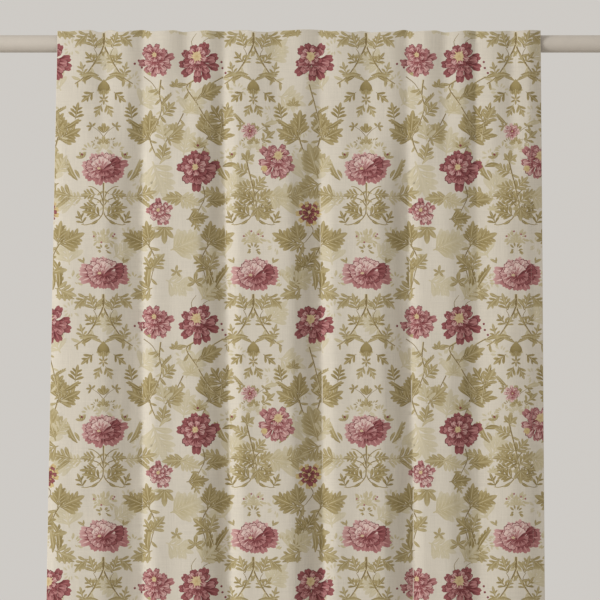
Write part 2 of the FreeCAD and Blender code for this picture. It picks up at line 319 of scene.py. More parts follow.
def side_peony(d, x, y, w, seed):
    """A wide rose seen from the side: petals that hang all round below a pale cup."""
    d.random.seed(seed)
    petals(d, x, y + 0.06 * w, 0.44 * w, 198, 342, 5, 0.32, ROSE_PETAL, 0.88, 3, 0.14, False)
    petals(d, x, y + 0.02 * w, 0.50 * w, 150, 205, 3, 0.26, ROSE_PETAL, 0.86, 2, 0.14, False)
    petals(d, x, y + 0.02 * w, 0.50 * w, -28, 34, 3, 0.26, RICH_PETAL, 0.86, 2, 0.14, False)
    petals(d, x, y, 0.46 * w, 30, 150, 6, 0.27, RICH_PETAL, 0.84, 2, 0.14, False)
    petals(d, x, y + 0.03 * w, 0.36 * w, 205, 338, 4, 0.34, SOFT_PETAL, 0.92, 2)
    petals(d, x + 0.05 * w, y - 0.01 * w, 0.35 * w, -45, 100, 5, 0.32, DARK_PETAL, 0.80, 2)
    petals(d, x - 0.04 * w, y, 0.35 * w, 95, 215, 5, 0.32, ROSE_PETAL, 0.80, 2)
    petals(d, x - 0.04 * w, y + 0.03 * w, 0.27 * w, 190, 350, 5, 0.36, CREAM_PETAL, 0.95, 2)
    petals(d, x + 0.03 * w, y + 0.04 * w, 0.22 * w, -20, 160, 5, 0.36, RICH_PETAL, 0.80, 2)
    petals(d, x - 0.08 * w, y + 0.05 * w, 0.17 * w, 160, 350, 4, 0.42, SOFT_PETAL, 0.85, 2)
    stamens(d, x - 0.10 * w, y + 0.03 * w, 0.06 * w, mix(STRAW, BLUSH, 0.5), 8, 0.7)
    foot = (x - 0.02 * w, y + 0.09 * w)
    for swing, length, colours in ((-64, 0.27, CREAM_PETAL), (-46, 0.30, DARK_PETAL),
                                   (-30, 0.26, ROSE_PETAL)):
        leaflet(d, foot, math.radians(swing), w * length, w * 0.06, colours, 0.15, 1.2, 0)


def open_peony(d, x, y, w, seed, outer=DARK_PETAL, inner=RICH_PETAL, heart=(-0.05, -0.10), heart_size=0.20):
    """A rose seen from the front: rings of petals round a straw-coloured heart."""
    d.random.seed(seed)
    petals(d, x, y, 0.50 * w, 0, 360, 9, 0.29, outer, 0.98, 2, 0.13, False)
    petals(d, x, y, 0.40 * w, 20, 380, 8, 0.33, inner, 0.95, 2, 0.12)
    hx, hy = x + heart[0] * w, y + heart[1] * w
    petals(d, hx, hy, 0.32 * w, 0, 360, 8, 0.33, outer, 0.95, 2)
    petals(d, hx, hy, 0.24 * w, 0, 360, 7, 0.40, ROSE_PETAL if inner is RICH_PETAL else inner, 0.95, 2)
    stamens(d, hx, hy, w * heart_size * 0.8, mix(STRAW, BLUSH, 0.2), 20, 1.1)
    petals(d, hx + 0.02 * w, hy + 0.18 * w, 0.25 * w, 15, 165, 4, 0.34, inner, 0.75, 2)


def heart_pendant(d, x, y):
    """A heart that hangs point up from two scrolls, with a three-lobed foot."""
    angle = np.linspace(0, 2 * math.pi, 21)[:-1]
    across = 12.5 * np.sin(angle) ** 3
    down = 12.0 * np.cos(angle) - 4.0 * np.cos(2 * angle) - 1.5 * np.cos(3 * angle)
    outline = np.stack([x + across, y - 2 + down], 1)
    for swing in (48, 132, 20, 160):
        small_leaf(d, x, y + 2, swing, 15, MID, 0, 0.5)
    colours = (mix(OLIVE, OLIVE_LIGHT, 0.2), OLIVE, OLIVE_DARK)
    d.shape(outline, (x, y - 15), (x, y + 13), 12, colours, OLIVE_DARK, 0.5)
    small_leaf(d, x, y + 6, 90, 12, MID, 0, 0.6)
    for side in (-1, 1):
        small_leaf(d, x + 2.5 * side, y + 4, 90 - side * 24, 12, DEEP, 0.1 * side, 0.4)
        scroll_leaf(d, x + side, y - 12, -90 + side * 52, 24, MID, side * 0.30)


def rosette(d, x, y):
    for angle in (-90, -35, 30, 90, 150, 215):
        small_leaf(d, x, y, angle, 11, DEEP, 0, 0.36)
    stamens(d, x, y, 3, VEIN, 6)


def half_motif(d):
    """What repeats left and right of each mirror line."""
    stem(d, [(0, 528), (0, 552), (17, 587), (39, 618), (58, 632)], 3.0)
    stem(d, [(17, 560), (13, 548), (19, 536), (36, 532)], 1.6)
    stem(d, [(17, 587), (14, 572), (20, 560)], 1.6)
    stem(d, [(92, 214), (97, 232), (106, 252)], 2.4)
    stem(d, [(0, 305), (0, 352)], 2.6)
    stem(d, [(0, 346), (6, 326), (20, 314), (30, 312)], 1.8)
    stem(d, [(0, 352), (12, 338), (40, 332), (66, 332)], 1.8)
    stem(d, [(0, 352), (2, 368), (14, 382), (34, 389), (44, 388)], 1.8)
    stem(d, [(90, 430), (98, 444), (104, 462), (98, 486), (90, 520)], 2.2)
    acanthus(d, 18, 560, -74, 36, MID, 3)
    acanthus(d, 30, 533, 24, 36, MID, 3, 0.8, 0.35)
    scroll_leaf(d, 58, 538, -24, 36, MID, 0.35)
    small_leaf(d, 66, 534, -44, 22, MID)
    acanthus(d, 20, 590, -52, 28, DEEP, 2)
    acanthus(d, 18, 592, -118, 24, MID, 2)
    acanthus(d, 40, 614, -76, 28, MID, 2)
    scroll_leaf(d, 10, 88, -12, 36, MID, 0.30)
    small_leaf(d, 22, 90, 16, 24, DEEP, 0.2)
    acanthus(d, 20, 122, 40, 33, DEEP, 2, 0.7)
    acanthus(d, 4, 146, 64, 30, MID, 2, 0.6)
    acanthus(d, 57, 178, -100, 36, DEEP, 3, 1.1)
    acanthus(d, 90, 216, -86, 58, DEEP, 4, 0.75)
    acanthus(d, 94, 220, -154, 54, DEEP, 4, 0.85)
    scroll_leaf(d, 80, 196, 196, 36, DEEP, 0.30)
    sprig(d, 0, 204, 20, DEEP, (-90, -50, -130))
    stem(d, [(0, 212), (10, 200), (22, 192)], 1.2)
    sprig(d, 24, 192, 13, DEEP, (-70, -10, -140, 50))
    sprig(d, 0, 226, 16, MID)
    spray(d, 14, 224, 14, MID, 6, -30, 160)
    spray(d, 0, 244, 24, FAINT, 11, -90, 170)
    spray(d, 26, 240, 20, PALE, 7, -60, 170)
    sprig(d, 42, 256, 17, MID, (-70, -120, -20))
    bud(d, 43, 248, 2.4)
    scroll_leaf(d, 52, 300, -40, 44, MID, -0.45)
    small_leaf(d, 48, 296, -72, 20, MID, 0.2)
    acanthus(d, 14, 328, 2, 32, MID, 3)
    acanthus(d, 12, 348, 22, 36, DEEP, 3, 1.0, -0.2)
    acanthus(d, 42, 338, -10, 34, PALE, 3)
    acanthus(d, 62, 332, -12, 46, MID, 3)
    scroll_leaf(d, 66, 336, 20, 32, MID, 0.3)
    acanthus(d, 5, 372, -28, 38, DEEP, 3, 0.9, 0.25)
    small_leaf(d, 10, 378, 50, 18, DEEP, -0.3)
    acanthus(d, 40, 388, -66, 30, DEEP, 2)
    acanthus(d, 92, 430, -156, 60, DEEP, 4, 0.85)
    acanthus(d, 92, 430, -98, 50, DEEP, 4, 0.8)
    sprig(d, 0, 424, 18, PALE)
    spray(d, 6, 418, 24, PALE, 9, -50, 170)
    spray(d, 0, 440, 18, MID, 7, -20, 100)
    small_leaf(d, 38, 466, -40, 16, MID)
    small_leaf(d, 40, 466, -100, 12, MID)
    scroll_leaf(d, 90, 520, -104, 52, DEEP, 0.35)
    acanthus(d, 98, 516, 160, 48, MID, 3)
    small_leaf(d, 92, 480, -70, 30, MID, 0.3)
    spray(d, 60, 500, 22, PALE, 8, -140, 200)
    bud(d, 19, 412, 2.0, ROSE)


def faint_leaves(d):
    """Pale leaves like watercolour behind the rest."""
    for x, y, angle, length in (
            (34, 66, 200, 60), (165, 170, -60, 66), (98, 262, 70, 84), (345, 350, -30, 76),
            (405, 310, -80, 92), (205, 540, -70, 66), (125, 500, 20, 60), (372, 520, -60, 74),
            (140, 440, -25, 76), (245, 455, -120, 66), (458, 470, -100, 66), (70, 150, -40, 56),
            (440, 120, -120, 60), (250, 330, -60, 60), (20, 455, -30, 56), (330, 60, -50, 60),
            (160, 250, -80, 60), (350, 130, 20, 60), (470, 350, 200, 60), (60, 440, -50, 50)):
        acanthus(d, x, y, angle, length, FAINT, 4, 1.1)
    for x, y in (
            (160, 130), (335, 165), (70, 300), (250, 250), (375, 235), (50, 410), (236, 410), (345, 430),
            (450, 410), (150, 520), (250, 500), (350, 560), (460, 560), (60, 100), (270, 120), (400, 200)):
        spray(d, x, y, 22, FAINT, 10, d.random.uniform(0, 360), 330)


def between(d):
    """Stems and leaves that have no mirror image."""
    stem(d, [(115, 98), (112, 128), (117, 152), (110, 178), (92, 214)], 2.2)
    stem(d, [(80, 92), (98, 106), (112, 130)], 1.6)
    stem(d, [(183, 98), (166, 112), (186, 144), (206, 178), (226, 202), (240, 214)], 2.2)
    stem(d, [(240, 92), (214, 108), (192, 130), (184, 144)], 1.8)
    stem(d, [(160, 165), (142, 200), (124, 224)], 2.0)
    stem(d, [(250, 150), (240, 176), (234, 208)], 1.8)
    stem(d, [(199, 312), (203, 334), (192, 358), (182, 378)], 2.0)
    stem(d, [(289, 240), (287, 262), (296, 300), (304, 336), (309, 364)], 2.6)
    stem(d, [(412, 108), (424, 150), (432, 184), (440, 214)], 2.0)
    stem(d, [(412, 386), (420, 402), (404, 424)], 1.8)
    stem(d, [(210, 466), (214, 486), (224, 512), (236, 524)], 2.0)
    stem(d, [(182, 568), (176, 546), (186, 530)], 1.4)
    stem(d, [(196, 562), (200, 548), (212, 540)], 1.4)
    scroll_leaf(d, 116, 150, -66, 30, MID, 0.35)
    acanthus(d, 118, 170, -48, 38, MID, 3)
    small_leaf(d, 108, 118, 160, 20, MID)
    acanthus(d, 124, 222, -44, 52, MID, 4)
    acanthus(d, 122, 222, -100, 44, PALE, 3)
    acanthus(d, 116, 264, -78, 42, MID, 3)
    scroll_leaf(d, 112, 268, -60, 26, PALE, 0.4)
    sprig(d, 145, 112, 17, MID)
    acanthus(d, 190, 134, -26, 54, DEEP, 4, 0.7)
    small_leaf(d, 240, 94, -28, 26, MID)
    sprig(d, 176, 160, 22, PALE, (-90, -40, -140, 10, 170))
    acanthus(d, 238, 186, -122, 44, DEEP, 3)
    acanthus(d, 240, 184, -62, 38, MID, 3)
    scroll_leaf(d, 228, 204, -168, 28, MID, 0.3)
    small_leaf(d, 240, 214, -20, 24, DEEP)
    sprig(d, 190, 236, 24, MID, (-90, -38, -142))
    spray(d, 190, 232, 26, PALE, 9, -90, 200)
    bud(d, 189, 230, 2.6)
    acanthus(d, 206, 342, -6, 48, DEEP, 4, 0.7)
    acanthus(d, 166, 334, 176, 50, MID, 3, 0.6)
    acanthus(d, 150, 334, 20, 48, PALE, 4)
    small_leaf(d, 238, 272, -22, 30, DEEP, 0.3)
    acanthus(d, 290, 286, 205, 36, MID, 3)
    sprig(d, 288, 262, 24, MID, (-90, -50, -130))
    acanthus(d, 300, 316, 188, 40, MID, 3)
    acanthus(d, 300, 318, -46, 36, MID, 3)
    acanthus(d, 306, 342, 200, 40, DEEP, 3)
    acanthus(d, 306, 344, -36, 38, MID, 3)
    fan_leaf(d, 309, 356, 90, 26, MID)
    sprig(d, 254, 360, 14, PALE)
    acanthus(d, 328, 330, 12, 52, PALE, 4)
    acanthus(d, 430, 296, -106, 74, MID, 5, 0.8)
    acanthus(d, 436, 306, 158, 60, MID, 4)
    acanthus(d, 432, 286, -60, 42, PALE, 3)
    acanthus(d, 372, 336, -20, 42, MID, 3)
    sprig(d, 380, 150, 18, MID)
    scroll_leaf(d, 428, 168, -50, 26, MID, 0.35)
    fan_leaf(d, 122, 394, 90, 34, MID)
    small_leaf(d, 112, 392, 150, 18, PALE)
    acanthus(d, 166, 378, -6, 46, DEEP, 4, 0.8)
    acanthus(d, 180, 380, 60, 26, MID, 2)
    acanthus(d, 134, 440, -22, 66, PALE, 5)
    acanthus(d, 98, 478, -52, 40, MID, 3)
    acanthus(d, 98, 480, -122, 32, DEEP, 2)
    acanthus(d, 212, 480, -138, 44, DEEP, 3)
    acanthus(d, 212, 478, -72, 38, MID, 3)
    scroll_leaf(d, 224, 514, -76, 46, DEEP, 0.35)
    sprig(d, 184, 504, 22, MID, (-90, -30, -150, 30, 150))
    sprig(d, 146, 484, 15, MID, (-90, -20, -160, 40, 140))
    acanthus(d, 196, 540, -50, 46, PALE, 3)
    acanthus(d, 404, 476, -60, 42, DEEP, 3)
    acanthus(d, 404, 476, -126, 34, DEEP, 3)
    acanthus(d, 380, 510, -30, 48, PALE, 4)
    small_leaf(d, 420, 486, -20, 34, MID)
    scroll_leaf(d, 424, 520, -80, 44, MID, -0.3)
    acanthus(d, 404, 424, 150, 36, MID, 2)
    small_leaf(d, 322, 188, -20, 28, PALE)
    small_leaf(d, 318, 198, 20, 24, MID)
    acanthus(d, 318, 222, -40, 34, MID, 2)
    scroll_leaf(d, 282, 186, -150, 28, MID, 0.3)
    small_leaf(d, 80, 80, 20, 20, MID)
    for x, y in ((76, 74), (62, 66), (236, 62), (238, 74), (244, 84), (70, 60)):
        bud(d, x, y, 2.4)
    for x, y in ((22, 408), (-4, 424), (310, 408), (296, 402)):
        bud(d, x, y, 2.0, ROSE)


def flowers(d):
    side_peony(d, 0, 273, 94, 11)
    side_peony(d, 2, 483, 98, 12)
    side_peony(d, 304, 487, 96, 13)
    open_peony(d, 189, 277, 90, 21, DARK_PETAL, RICH_PETAL, (-0.06, -0.04), 0.12)
    open_peony(d, 345, 263, 80, 22, RICH_PETAL, ROSE_PETAL, (0.06, -0.16), 0.20)
    stamens(d, 322, 276, 10, STRAW, 12)
    open_peony(d, 190, 588, 84, 23, DARK_PETAL, RICH_PETAL, (-0.04, -0.14), 0.21)
    open_peony(d, 420, 588, 82, 24, DARK_PETAL, RICH_PETAL, (-0.06, -0.12), 0.20)
    open_peony(d, 106, 588, 74, 25, RICH_PETAL, ROSE_PETAL, (-0.06, -0.20), 0.12)
    open_peony(d, 114, 363, 56, 26, RICH_PETAL, SOFT_PETAL, (-0.08, -0.06), 0.12)
    open_peony(d, 412, 365, 54, 27, STRAW_PETAL, DARK_PETAL, (0.0, -0.02), 0.10)
    open_peony(d, 293, 201, 34, 28, SOFT_PETAL, ROSE_PETAL, (0, 0), 0.08)


def printed_design():
    d = Design()
    faint_leaves(d)
    for line in (0.0, SECOND_LINE):
        d.line = line
        for d.flip in (1.0, -1.0):
            half_motif(d)
        d.flip = 1.0
        heart_pendant(d, 0, 112)
        rosette(d, 0, 137)
    d.line = 0.0
    between(d)
    flowers(d)
    return d.shapes


# ---------------------------------------------------------------- places from the frame
joints = {joint["name"]: joint for joint in frame["joints"]}
hinges = sorted((joint for joint in frame["joints"] if joint["name"].startswith(("crest_", "back_fold_"))),
                key=lambda joint: joint["pos_m"][0])
LEFT = joints["curtain_draw"]["pos_m"][0] / MM
RIGHT = joints["tab_7_turn"]["pos_m"][0] / MM
BACK_FOLDS = [LEFT, *(joints[f"back_fold_{i}"]["pos_m"][0] / MM for i in range(2, 7)), RIGHT]
BACK_Y = joints["curtain_draw"]["pos_m"][1] / MM
PANEL_LOW, PANEL_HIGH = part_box("panel_fold_1_left")
TOP = PANEL_HIGH.z / MM
DROP = (PANEL_HIGH.z - PANEL_LOW.z) / MM
POLE_LOW, POLE_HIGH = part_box("curtain_pole")
POLE_Y = (POLE_LOW.y + POLE_HIGH.y) / 2 / MM
POLE_Z = (POLE_LOW.z + POLE_HIGH.z) / 2 / MM

# ---------------------------------------------------------------- how the cloth hangs
PRINT_INSET = 93.0          # from the panel's left edge to the first mirror line of the print
LEFT_FLARE, RIGHT_FLARE = 0.019, 0.007
FOLD_DRIFT = (0, 0, 14, 8, 13, 6, 0)
DRIFT_DROP = 1100.0
CREASE_START = (200, 220, 110, 300, 220, 280, 250)
CREASE_GROWTH = 240.0
HEADING_DEPTH = 8.5
REACH_SHARE = 0.52          # of the depth of the plain folds that the panel is designed with
LOWER_GROWTH = 0.00013
TOP_SAG, TOP_RUFFLE = 1.6, 2.8

# Depth of one fold across its bay, from the back fold on its left to the one on its right.
HEADING = ((0, 0), (0.12, 0.55), (0.28, 1), (0.42, 0.72), (0.55, 0.35), (0.68, 0.72), (0.80, 0.92),
           (0.92, 0.45), (1, 0))
SHARP = ((0, 0), (0.06, 0.45), (0.15, 0.75), (0.32, 0.78), (0.50, 0.92), (0.65, 1), (0.80, 0.65),
         (0.92, 0.20), (1, 0))
FIRST = ((0, 0.30), (0.10, 0.62), (0.35, 0.88), (0.57, 0.96), (0.75, 0.60), (0.90, 0.20), (1, 0))
TO_SOFT = ((0, 0), (0.06, 0.42), (0.16, 0.72), (0.35, 0.85), (0.55, 1), (0.75, 0.72), (0.90, 0.32), (1, 0.18))
LAST = ((0, 0.18), (0.12, 0.42), (0.30, 0.80), (0.50, 1), (0.72, 0.86), (0.90, 0.50), (1, 0.30))
BAY_SHAPES = (FIRST, SHARP, SHARP, SHARP, TO_SOFT, LAST)

FRONT, BACK, HEM_BACK, BAND_BACK = 0.0, 0.5, 1.1, 1.6   # distances of the layers of cloth behind its face


def smooth_step(value):
    value = np.clip(value, 0, 1)
    return value * value * (3 - 2 * value)


def curve_through(knots):
    """A function that follows the knots smoothly and never swings past them."""
    at, value = (np.array(column, float) for column in zip(*knots))
    slope = np.diff(value) / np.diff(at)
    product, total = slope[1:] * slope[:-1], slope[1:] + slope[:-1]
    inner = np.where(product > 0, 2 * product / (total + 1e-12), 0)
    tangent = np.concatenate([slope[:1], inner, slope[-1:]])

    def follow(share):
        i = np.clip(np.searchsorted(at, share, "right") - 1, 0, len(at) - 2)
        step = at[i + 1] - at[i]
        t = np.clip((share - at[i]) / step, 0, 1)
        return (value[i] * (1 + 2 * t) * (1 - t) ** 2 + value[i + 1] * t * t * (3 - 2 * t)
                + step * (tangent[i] * t * (1 - t) ** 2 - tangent[i + 1] * t * t * (1 - t)))
    return follow


heading_curve = curve_through(HEADING)
bay_curves = [curve_through(knots) for knots in BAY_SHAPES]


RIPPLE_CELLS = 97           # after so many cells the waves repeat


def ripple(x, y, cell_x, cell_y, seed):
    """Smooth random waves from -1 to 1, with cells of the given size."""
    table = np.random.default_rng(seed).uniform(-1, 1, (RIPPLE_CELLS, RIPPLE_CELLS))
    u, v = x / cell_x + 1000, y / cell_y + 1000
    i, j = np.floor(u).astype(int), np.floor(v).astype(int)
    u, v = smooth_step(u - i), smooth_step(v - j)
    i, j, ip, jp = (cell % RIPPLE_CELLS for cell in (i, j, i + 1, j + 1))
    return ((table[i, j] * (1 - u) + table[ip, j] * u) * (1 - v)
            + (table[i, jp] * (1 - u) + table[ip, jp] * u) * v)


def edge_x(side, drop):
    """The panel's left (0) or right (1) edge, which flares out towards the hem."""
    return RIGHT + RIGHT_FLARE * drop if side else LEFT - LEFT_FLARE * drop


def fold_depth(x, drop):
    """How far the cloth stands in front of its back folds, and the share of its bay that each point is at."""
    settled = smooth_step(drop / DRIFT_DROP)
    inner = (line + drift * settled for line, drift in zip(BACK_FOLDS[1:6], FOLD_DRIFT[1:6]))
    lines = [edge_x(0, drop), *inner, edge_x(1, drop)]
    depth, share = np.zeros_like(x), np.zeros_like(x)
    for bay, (start, end) in enumerate(zip(lines, lines[1:])):
        inside = (x >= start) & ((x < end) | (bay == 5)) if bay else x < end
        t = np.clip((x - start) / (end - start), 0, 1)
        reach = BACK_Y - joints[f"crest_{bay + 1}"]["pos_m"][1] / MM
        crease = CREASE_START[bay] + (CREASE_START[bay + 1] - CREASE_START[bay]) * t
        formed = smooth_step((drop - crease + CREASE_GROWTH / 2) / CREASE_GROWTH)
        lower = REACH_SHARE * reach * (1 + LOWER_GROWTH * drop) * bay_curves[bay](t)
        upper = HEADING_DEPTH * (0.85 + 0.3 * ((bay * 5) % 3) / 2) * heading_curve(t)
        depth = np.where(inside, upper * (1 - formed) + lower * formed, depth)
        share = np.where(inside, t, share)
    return depth, share


def place_cloth(x, drop, behind):
    """Points of the hung cloth, in metres, from their places in the flat plane and behind its face."""
    x, drop, behind = (np.asarray(value, float) for value in np.broadcast_arrays(x, drop, behind))
    depth, share = fold_depth(x, drop)
    away = smooth_step(depth / 6)
    waves = 0.55 * ripple(x + 0.05 * drop, drop, 23, 110, 3) + 0.9 * ripple(x, drop, 58, 260, 4)
    depth = depth + away * waves
    depth += away * 0.28 * ripple(x - 0.1 * drop, drop, 9, 48, 5)
    sag = TOP_SAG * np.sin(math.pi * share) ** 2 * np.exp(-drop / 300)
    ruffle = TOP_RUFFLE * ripple(x, 0 * x, 21, 1, 9) * np.exp(-drop / 70)
    return np.stack([x, BACK_Y - depth + behind, TOP - drop - sag + ruffle], -1) * MM


# ---------------------------------------------------------------- the printed cloth as a mesh
def linear(colour):
    colour = np.asarray(colour, float)
    return np.where(colour <= 0.04045, colour / 12.92, ((colour + 0.055) / 1.055) ** 2.4)


CLOTH_TONE = 0.93
GROUND_COLOUR = linear(GROUND) * CLOTH_TONE
GHOST_SHARE = 0.30


class Surface:
    """A mesh put together from parts: points, triangles, and for each corner a colour and a flat place."""

    def __init__(self):
        self.points, self.triangles, self.colours, self.flat, self.looks, self.count = [], [], [], [], [], 0

    def add(self, points, triangles, colours, flat, look=0):
        self.points.append(points)
        self.triangles.append(triangles + self.count)
        self.colours.append(np.broadcast_to(colours, (len(triangles), 3, 3)))
        self.flat.append(flat[triangles])
        self.looks.append(np.full(len(triangles), look, np.int32))
        self.count += len(points)

    def make(self, name, materials):
        points, triangles = np.concatenate(self.points), np.concatenate(self.triangles)
        mesh = bpy.data.meshes.new(name)
        mesh.vertices.add(len(points))
        mesh.vertices.foreach_set("co", points.astype(np.float32).ravel())
        mesh.loops.add(triangles.size)
        mesh.loops.foreach_set("vertex_index", triangles.astype(np.int32).ravel())
        mesh.polygons.add(len(triangles))
        mesh.polygons.foreach_set("loop_start", np.arange(0, triangles.size, 3, dtype=np.int32))
        mesh.polygons.foreach_set("use_smooth", np.ones(len(triangles), bool))
        mesh.polygons.foreach_set("material_index", np.concatenate(self.looks))
        tint = mesh.attributes.new("print", "FLOAT_COLOR", "CORNER")
        colours = np.concatenate(self.colours).reshape(-1, 3)
        colours = np.concatenate([colours, np.ones((len(colours), 1))], 1)
        tint.data.foreach_set("color", colours.astype(np.float32).ravel())
        flat = mesh.uv_layers.new(name="flat")
        flat.data.foreach_set("uv", np.concatenate(self.flat).astype(np.float32).ravel())
        mesh.update(calc_edges=True)
        for material in materials:
            mesh.materials.append(material)
        obj = bpy.data.objects.new(name, mesh)
        bpy.context.scene.collection.objects.link(obj)
        return obj


def fine_outline(corners, step_x, step_y):
    """The corners' closed outline with more points along its sides."""
    points = []
    for a, b in zip(corners, np.roll(corners, -1, 0)):
        count = max(1, math.ceil(max(abs(b[0] - a[0]) / step_x, abs(b[1] - a[1]) / step_y)))
        points.extend(a + (b - a) * i / count for i in range(count))
    return np.array(points)


def within(points, ring):
    """Which points are inside a closed ring, by the number of its sides that a line from each one crosses."""
    after = np.roll(ring, -1, 0)
    x, y = points[:, :1], points[:, 1:]
    crosses = (ring[:, 1] > y) != (after[:, 1] > y)
    rise = np.where(after[:, 1] == ring[:, 1], 1, after[:, 1] - ring[:, 1])
    return (crosses & (x < ring[:, 0] + (after[:, 0] - ring[:, 0]) * (y - ring[:, 1]) / rise)).sum(1) % 2 == 1


class Print:
    """The printed shapes, repeated over the whole cloth."""

    def __init__(self, shapes):
        self.shapes = shapes
        outlines, base, tip, half, colours, rim = zip(*shapes)
        self.outlines = outlines
        self.low = np.array([outline.min(0) for outline in outlines])
        self.high = np.array([outline.max(0) for outline in outlines])
        self.base, self.axis = np.array(base), np.array(tip) - base
        self.half, self.rim = np.array(half, float), np.array(rim, float)
        self.colours = linear(colours) * CLOTH_TONE

    def near(self, low, high):
        """The shapes that reach into a box of the flat plane, bottom one first, with each one's origin."""
        first = LEFT + PRINT_INSET
        found = []
        for i in range(math.floor((low[0] - first) / REPEAT) - 1, math.ceil((high[0] - first) / REPEAT) + 1):
            for j in range(math.floor(low[1] / REPEAT) - 1, math.ceil(high[1] / REPEAT) + 1):
                origin = np.array([first + i * REPEAT, j * REPEAT])
                seen = ((self.high + origin > low) & (self.low + origin < high)).all(1)
                found.extend((int(k), tuple(origin)) for k in np.flatnonzero(seen))
        return sorted(found)

    def on_top(self, places, found):
        """For each place, the number in the found list of the shape that is on top there, or -1."""
        order = np.argsort(places[:, 1])
        ordered = places[order]
        top = np.full(len(places), -1)
        for number, (k, origin) in enumerate(found):
            (left, upper), (right, lower) = self.low[k] + origin, self.high[k] + origin
            first, last = np.searchsorted(ordered[:, 1], (upper, lower))
            rows = first + np.flatnonzero((ordered[first:last, 0] > left) & (ordered[first:last, 0] < right))
            if len(rows):
                top[rows[within(ordered[rows], self.outlines[k] + origin)]] = number
        back = np.empty(len(places), int)
        back[order] = top
        return back

    def seen(self):
        """The shapes that later ones don't hide."""
        origin = (LEFT + PRINT_INSET, 0.0)
        inner = [outline + origin + (outline.mean(0) - outline) * 0.12 for outline in self.outlines]
        owner = np.repeat(np.arange(len(inner)), [len(ring) for ring in inner])
        places = np.concatenate(inner)
        found = self.near(places.min(0), places.max(0))
        top = np.array([k for k, _ in found])[self.on_top(places, found)]
        return [self.shapes[k] for k in np.unique(owner[top == owner])]

    def tints(self, places, top, found):
        """The colours of the shapes on top at places (rows of any number of places each)."""
        shape = np.array([k for k, _ in found] + [-1])[top]
        origin = np.array([origin for _, origin in found] + [(0.0, 0.0)])[top]
        from_base, axis = places - origin[:, None] - self.base[shape][:, None], self.axis[shape][:, None]
        length = np.maximum((axis ** 2).sum(-1), 1e-9)
        along = np.clip((from_base * axis).sum(-1) / length, 0, 1)[..., None]
        across = np.abs(axis[..., 0] * from_base[..., 1] - axis[..., 1] * from_base[..., 0]) / np.sqrt(length)
        side = smooth_step((across / self.half[shape][:, None] - 0.35) / 0.65) * self.rim[shape][:, None]
        root, middle, end, rim = (self.colours[shape, i][:, None] for i in range(4))
        colours = np.where(along < 0.5, root + (middle - root) * along * 2,
                           middle + (end - middle) * (along * 2 - 1))
        colours = colours + (rim - colours) * side[..., None]
        colours[shape < 0] = GROUND_COLOUR
        return colours


floral = Print(Print(printed_design()).seen())


def cut_print(corners, step_x=4.5, step_y=10.0):
    """The print inside a convex outline of the flat plane: points, triangles and corner colours."""
    outline = fine_outline(np.asarray(corners, float), step_x, step_y)
    low, high = outline.min(0), outline.max(0)
    xs = np.arange(low[0] + step_x / 2, high[0], step_x)
    ys = np.arange(low[1] + step_y / 2, high[1], step_y)
    grid = np.stack(np.meshgrid(xs, ys, indexing="ij"), -1).reshape(-1, 2)
    grid[:, 1] += step_y / 2 * (np.floor((grid[:, 0] - low[0]) / step_x) % 2) - step_y / 4
    found = floral.near(low, high)
    rings = [outline, *(floral.outlines[k] + origin for k, origin in found)]
    starts = np.cumsum([0, *(len(ring) for ring in rings)])
    edges = np.concatenate([np.stack([np.arange(n), np.roll(np.arange(n), -1)], 1) + start
                            for n, start in zip(map(len, rings), starts)])
    made = delaunay_2d_cdt(np.concatenate([*rings, grid]).tolist(), edges.tolist(), [], 0, 1e-4, False)
    vertices, triangles = np.array([tuple(v) for v in made[0]]), np.array(made[2])
    triangles = triangles[within(vertices[triangles].mean(1), np.asarray(corners, float))]
    used, triangles = np.unique(triangles, return_inverse=True)
    vertices, triangles = vertices[used], triangles.reshape(-1, 3)
    top = floral.on_top(vertices[triangles].mean(1), found)
    return vertices, triangles, floral.tints(vertices[triangles], top, found)


def seen_through(x, drop, share):
    """The print's colours at a grid of places, with that share of their contrast with the ground."""
    places = np.stack([x.ravel(), drop.ravel()], 1)
    found = floral.near(places.min(0), places.max(0))
    colours = floral.tints(places[:, None], floral.on_top(places, found), found)[:, 0]
    return GROUND_COLOUR + (colours - GROUND_COLOUR) * share


def add_grid(surface, x, drop, behind, colour, outside=1):
    """A sheet over a grid of places, seen from its outside. The colour is one, or one for each place."""
    rows, columns = x.shape
    index = np.arange(rows * columns).reshape(rows, columns)
    a, b, c, e = (part.ravel() for part in (index[:-1, :-1], index[1:, :-1], index[1:, 1:], index[:-1, 1:]))
    triangles = np.concatenate([np.stack([a, b, c], 1), np.stack([a, c, e], 1)])
    triangles = triangles[:, ::outside]
    flat = np.stack([x.ravel(), (drop + behind).ravel()], 1)
    if np.ndim(colour) == 2:
        colour = colour[triangles]
    surface.add(place_cloth(x, drop, behind).reshape(-1, 3), triangles, colour, flat)


def add_border(surface, along, section, colour, across_x, outside=1):
    """A narrow strip along an edge. section is a list of (step over the edge, behind) in the flat plane."""
    steps, behind = np.array(section, float).T
    along_x, along_drop = along
    x = along_x[:, None] + (steps if across_x else 0 * steps)[None]
    drop = along_drop[:, None] + (0 * steps if across_x else steps)[None]
    add_grid(surface, x, drop, np.broadcast_to(behind, x.shape), colour, outside)


STITCH_LENGTH, STITCH_PITCH, STITCH_WIDTH, STITCH_RISE = 2.5, 3.3, 0.5, 0.28
THREAD_COLOUR = linear((0.86, 0.83, 0.77))


